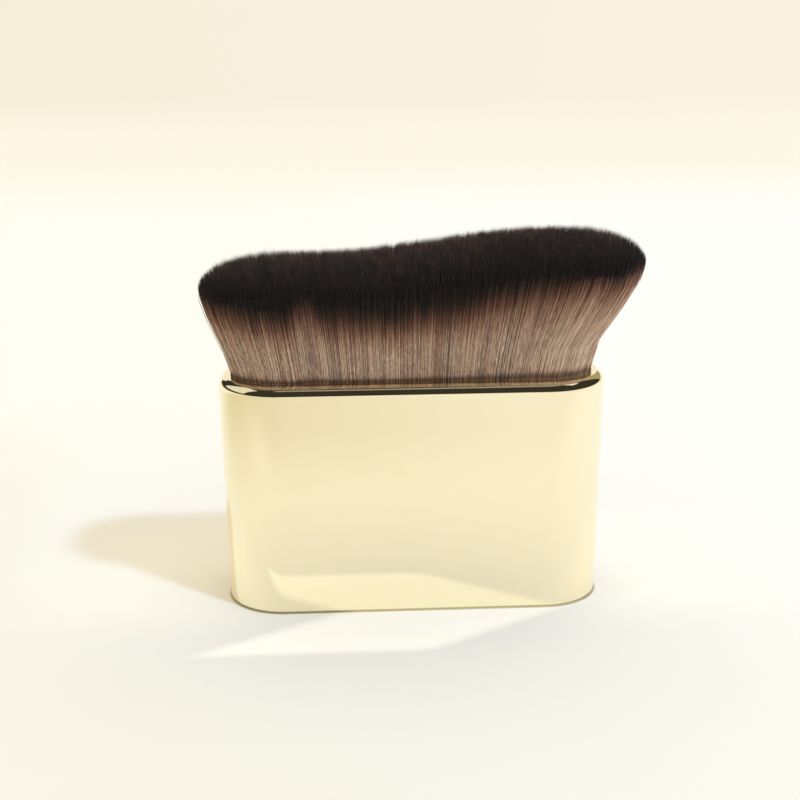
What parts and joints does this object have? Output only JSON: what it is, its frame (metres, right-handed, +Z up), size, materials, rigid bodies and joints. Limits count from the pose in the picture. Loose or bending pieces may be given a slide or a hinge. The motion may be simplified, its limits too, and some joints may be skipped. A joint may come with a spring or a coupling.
{
  "type": "foundation brush",
  "caption": "Flat palm-held foundation brush with a rounded-rectangle gold-plated handle and a dense, flared head of dark-tipped bristles cut to a wave.",
  "frame": {"origin": "centre of the handle's flat base, which stands on the table", "axes": "+Z up from the base to the bristle tips, +X along the handle's width towards the high end of the wave, -Y the front shown in the picture"},
  "size_m": [0.0779, 0.028, 0.0659],
  "materials": {
    "gold_plated_plastic": "polished",
    "grey_foam": "matte",
    "ballast_steel": "satin",
    "black_plastic": "matte",
    "cup_aluminium": "satin",
    "cured_resin": "gloss",
    "synthetic_fibre": "matte"
  },
  "bodies": {
    "root": {"handle_shell": "gold_plated_plastic", "base_cover": "gold_plated_plastic", "foam_pad": "grey_foam", "ballast_bar": "ballast_steel", "inner_frame": "black_plastic", "bristle_cup": "cup_aluminium", "root_resin": "cured_resin", "bristles_low": "synthetic_fibre", "bristles_middle": "synthetic_fibre", "bristles_high": "synthetic_fibre"}
  },
  "joints": []
}
